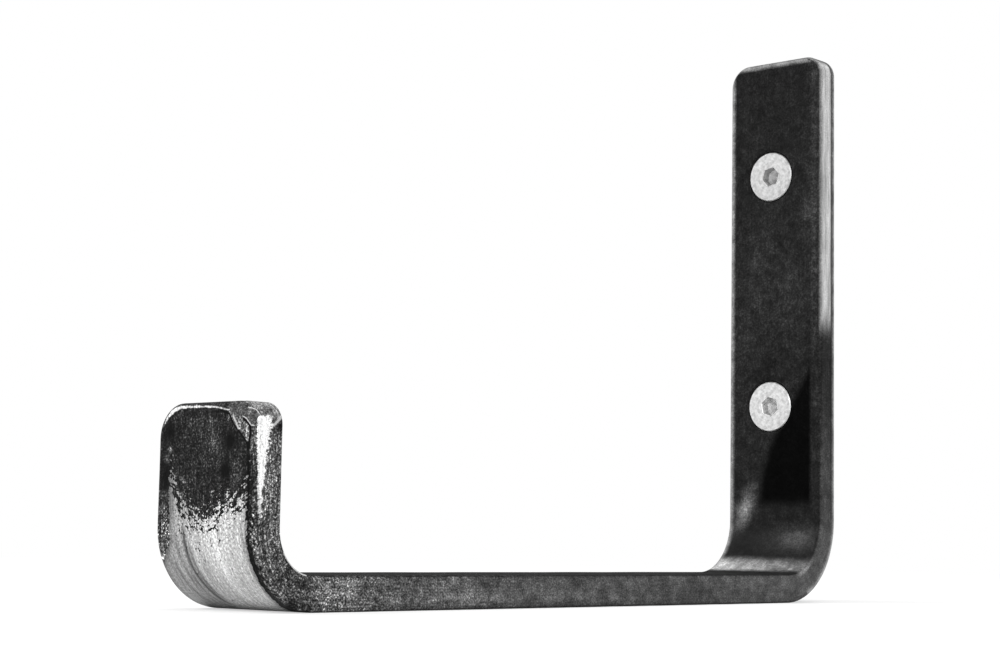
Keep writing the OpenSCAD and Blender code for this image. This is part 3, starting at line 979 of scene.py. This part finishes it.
def barSteel():
    # Black mill scale, worn and ground through to bare steel where the attribute of wear and painted
    # reflection is above 0; the painted reflection is a bright band on the plate's sides
    f = barFinish
    material, tree = newMaterial("barSteel")
    place, strokes = readAttribute(tree, "barPoint", "Vector"), readAttribute(tree, "strokes", "Vector")
    wearAndReflection, fray, tone, speckle, bareShare, dull = (
        readAttribute(tree, name) for name in ("wearAndReflection", "fray", "tone", "speckle", "bareTone", "dull"))
    grain, fine, blotch, crumbs, clumps, pits, drawn, broadLines, thinLines = (
        noise(tree, place, *f[name]) for name in ("grain", "fine", "blotch", "crumbs", "clumps", "pits",
                                                  "drawn", "broadLines", "thinLines"))
    scratches = noise(tree, strokes, *f["scratches"])

    def times(first, second):
        return calc(tree, "MULTIPLY", first, second)

    def flecked(grey, pattern, gain):
        # A grey times e to the power of the pattern, so that flecks are as strong on dark as on light
        return times(grey, calc(tree, "EXPONENT", times(calc(tree, "SUBTRACT", pattern, 0.5), gain)))

    # Border of the bare steel, broken up by crumbs, slanting scratches and grain
    broken = f["borderShift"]
    for pattern, share in zip((crumbs, scratches, grain), f["borderBreaks"]):
        broken = calc(tree, "MULTIPLY_ADD", pattern, share, broken)
    bare = ramp(tree, calc(tree, "MULTIPLY_ADD", broken, fray, wearAndReflection), *f["borderRamp"])

    # Scale: mottled and flecked
    mottle = times(ramp(tree, blotch, *f["blotchShade"]), ramp(tree, fine, *f["fineShade"]))
    scale = times(tone, mottle)
    for pattern, gain in zip((grain, drawn, clumps), f["fleckGains"]):
        scale = flecked(scale, pattern, times(speckle, gain))

    scale = addLines(tree, place, grain, scale)

    # Bare steel: broad and thin lines along the bar, fine grain, and pits
    steel = times(ramp(tree, broadLines, *f["broadShade"]), ramp(tree, thinLines, *f["thinShade"]))
    steel = flecked(times(bareShare, steel), grain, calc(tree, "MULTIPLY_ADD", speckle, *f["bareGain"]))
    pitted = times(ramp(tree, pits, *f["pitRange"]), speckle)
    steel = times(steel, calc(tree, "MULTIPLY_ADD", pitted, f["pitDark"], 1.0))
    steel = calc(tree, "MINIMUM", steel, f["whitest"])

    grey = mix(tree, bare, scale, steel)
    rough = mix(tree, bare, ramp(tree, blotch, *f["scaleRough"]), ramp(tree, grain, *f["bareRough"]))
    rough = mix(tree, dull, rough, f["dullRough"])
    grainShare, blotchShare, bareTaken = f["bumpShares"]
    height = calc(tree, "MULTIPLY_ADD", blotch, blotchShare, times(grain, grainShare))
    height = calc(tree, "MULTIPLY_ADD", bare, -bareTaken, height)
    bump = addNode(tree, "ShaderNodeBump", None, Strength=f["bump"], Distance=f["bumpDepth"] * mm,
                   Height=height)
    shader = addNode(tree, "ShaderNodeBsdfPrincipled", None, Base_Color=grey, Roughness=rough,
                     Metallic=times(bare, f["bareMetal"]), Specular_IOR_Level=f["scaleShine"],
                     Normal=bump.outputs[0])
    addNode(tree, "ShaderNodeOutputMaterial", None, Surface=shader.outputs[0])
    return material


hookBar = makeBar()
hookBar.data.materials.append(barSteel())
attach(hookBar, "root")
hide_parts("hook_bar")


# Screws

screw = {
    "rim": 0.3,
    "headChamfer": 0.2,
    "neckRound": 2.6,
    "threadStart": 6.5,  # below the head's top
    "threadRound": 3.0,
    "rootRound": 2.39,
    "pitch": 1.0,
    "crest": (2.7, 0.2),  # slope of the thread's sides, and how much its top and root are flattened
    "runIn": 1.5,  # turns over which the thread grows to its full height
    "tipChamfer": 0.8,
    "socket": 4.0,  # across the flats
    "socketDepth": 2.3,
    "socketLead": 0.12,
    "angles": 120,
    "threadRows": 150,
    "coneShares": (0.05, 0.5, 1.0),  # rows of the drill point, the head's face and the tip's face
    "faceShares": (0.25, 0.5, 0.75, 1.0),
    "tipRounds": (1.2, 0.1),
    "sharpAngle": 30.0,
    # name: the CAD node that it stands for, turn of the socket in degrees, grey; both screws have one
    # plating, and the upper one's darker grey and the lower one's lighter grey are painted shade and light
    "each": {"upperScrew": ("upper_screw", 14.0, 0.44), "lowerScrew": ("lower_screw", -20.0, 0.58)},
}

screwFinish = {
    "threadTone": 0.4,
    "threadFrom": (3.0, 6.0),  # depth over which that tone comes in
    "metal": (0.5, 0.85),  # inside the socket and on the rest
    # painted light inside the socket, which lifts the recess's shade
    "socketGain": 1.15,  # how much lighter the socket's inside is
    "socketWall": (2.1, 2.5),  # distance from the axis and depth over which the inside ends
    "socketFloor": (3.5, 4.0),
    "ringScale": 3.2,  # turning marks per millimetre
    # patterns: scale per millimetre, detail, roughness
    "rings": (1.0, 3, 0.7),
    "dullSpots": (0.9, 4, 0.65),
    "fine": (4.5, 2, 0.6),
    # pattern's range, then the factor that it gives
    "ringShade": (0.3, 0.7, 0.88, 1.1),
    "dullShade": (0.3, 0.7, 0.78, 1.15),
    "fineShade": (0.3, 0.7, 0.93, 1.06),
    "rough": (0.3, 0.7, 0.28, 0.45),
    "bump": 0.35,
    "bumpDepth": 0.05,
    "bumpFine": 0.4,
}


def screwProfile(turn, headRound, length):
    # Rows of radius and depth from the socket's tip over the head, down the thread to the end. The socket's
    # radius goes with the angle as a hexagon's does, half its size over the cosine within each sixth, and
    # the thread's with a wave that climbs one pitch a turn.
    s = screw
    angle = np.linspace(0, 2 * math.pi, s["angles"], endpoint=False)
    sector = np.mod(angle + turn, math.pi / 3) - math.pi / 6
    inner = s["socket"] / 2
    hexagon, lead = inner / np.cos(sector), s["socketLead"]
    coneDepth = inner * math.tan(math.pi / 6)
    rows = [(inner * k, s["socketDepth"] + coneDepth * (1 - k)) for k in s["coneShares"]]
    rows += [(hexagon, s["socketDepth"] / k) for k in (1, 2)] + [(hexagon, lead), (hexagon + lead, 0)]
    face = headRound - s["headChamfer"]
    rows += [((hexagon + lead) * (1 - k) + face * k, 0) for k in s["faceShares"]]
    rows += [(headRound, s["headChamfer"]), (headRound, s["rim"]),
             (s["neckRound"], s["rim"] + headRound - s["neckRound"]), (s["neckRound"], s["threadStart"])]
    for depth in np.linspace(s["threadStart"], length, s["threadRows"] + 1)[1:]:
        phase = np.mod(depth / s["pitch"] - angle / (2 * math.pi), 1)
        slope, flattened = s["crest"]
        crest = np.clip(slope * (0.5 - np.abs(phase - 0.5)) - flattened, 0, 1)
        crest = crest * min(1.0, (depth - s["threadStart"]) / (s["runIn"] * s["pitch"]))
        radius = s["rootRound"] + (s["threadRound"] - s["rootRound"]) * crest
        limit = s["threadRound"] - max(0.0, depth - length + s["tipChamfer"])
        rows.append((np.minimum(radius, limit), depth))
    rows += [(radius, length) for radius in s["tipRounds"]]
    radius, depth = (np.stack([np.broadcast_to(part, angle.shape) for part in parts]) for parts in zip(*rows))
    return angle, radius, depth, s["socketDepth"] + coneDepth


def makeScrew(name, node, turn, tone):
    # The profile carried round the axis, which points into the wall from the middle of the node's box
    low, high = boxOf(node)
    middle, length = (low + high) / 2, high[1] - low[1]
    angle, radius, depth, tipDepth = screwProfile(math.radians(turn), high[0] - middle[0], length)
    local = np.stack([radius * np.cos(angle), radius * np.sin(angle), depth], -1).reshape(-1, 3)
    local = np.concatenate([local, [(0, 0, tipDepth), (0, 0, length)]])
    ids = np.arange(radius.size).reshape(radius.shape)
    ahead = np.roll(ids, -1, 1)
    quads = np.stack([ids[:-1], ahead[:-1], ahead[1:], ids[1:]], -1).reshape(-1, 4)
    first, last = (np.full(len(angle), radius.size + k) for k in (0, 1))
    triangles = np.concatenate([np.column_stack([first, ahead[0], ids[0]]),
                                np.column_stack([last, ids[-1], ahead[-1]])])
    points = np.column_stack([middle[0] + local[:, 0], low[1] + local[:, 2], middle[2] - local[:, 1]])
    return makeMesh(name, points, quads, triangles, screw["sharpAngle"],
                    {"screwPoint": local, "screwTone": np.full(len(local), tone)})


def screwSteel():
    # Bright plated steel with fine turning marks round the axis and dull spots
    f = screwFinish
    material, tree = newMaterial("screwSteel")
    place = readAttribute(tree, "screwPoint", "Vector")
    radius = vectorCalc(tree, "LENGTH", vectorCalc(tree, "MULTIPLY", place, i1=(1, 1, 0)), "Value")
    depth = addNode(tree, "ShaderNodeSeparateXYZ", None, i0=place).outputs[2]
    around = addNode(tree, "ShaderNodeCombineXYZ", None, i0=calc(tree, "MULTIPLY", radius, f["ringScale"]),
                     i1=depth).outputs[0]
    rings = noise(tree, around, *f["rings"])
    dullSpots, fine = noise(tree, place, *f["dullSpots"]), noise(tree, place, *f["fine"])
    tone = mix(tree, ramp(tree, depth, *f["threadFrom"]), readAttribute(tree, "screwTone"), f["threadTone"])
    inSocket = calc(tree, "MULTIPLY", ramp(tree, radius, *f["socketWall"], 1.0, 0.0),
                    ramp(tree, depth, *f["socketFloor"], 1.0, 0.0))
    # the socket's inside painted lighter: painted light over its shade
    grey = calc(tree, "MULTIPLY", tone, mix(tree, inSocket, 1.0, f["socketGain"]))
    for pattern, shade in ((dullSpots, "dullShade"), (rings, "ringShade"), (fine, "fineShade")):
        grey = calc(tree, "MULTIPLY", grey, ramp(tree, pattern, *f[shade]))
    rough = ramp(tree, dullSpots, *f["rough"])
    metal = mix(tree, inSocket, f["metal"][1], f["metal"][0])
    height = calc(tree, "MULTIPLY_ADD", fine, f["bumpFine"], rings)
    bump = addNode(tree, "ShaderNodeBump", None, Strength=f["bump"], Distance=f["bumpDepth"] * mm,
                   Height=height)
    shader = addNode(tree, "ShaderNodeBsdfPrincipled", None, Base_Color=grey, Roughness=rough, Metallic=metal,
                     Normal=bump.outputs[0])
    addNode(tree, "ShaderNodeOutputMaterial", None, Surface=shader.outputs[0])
    return material


plated = screwSteel()
for name, (node, turn, tone) in screw["each"].items():
    made = makeScrew(name, node, turn, tone)
    made.data.materials.append(plated)
    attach(made, "root")
    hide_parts(node)
print("screws made")
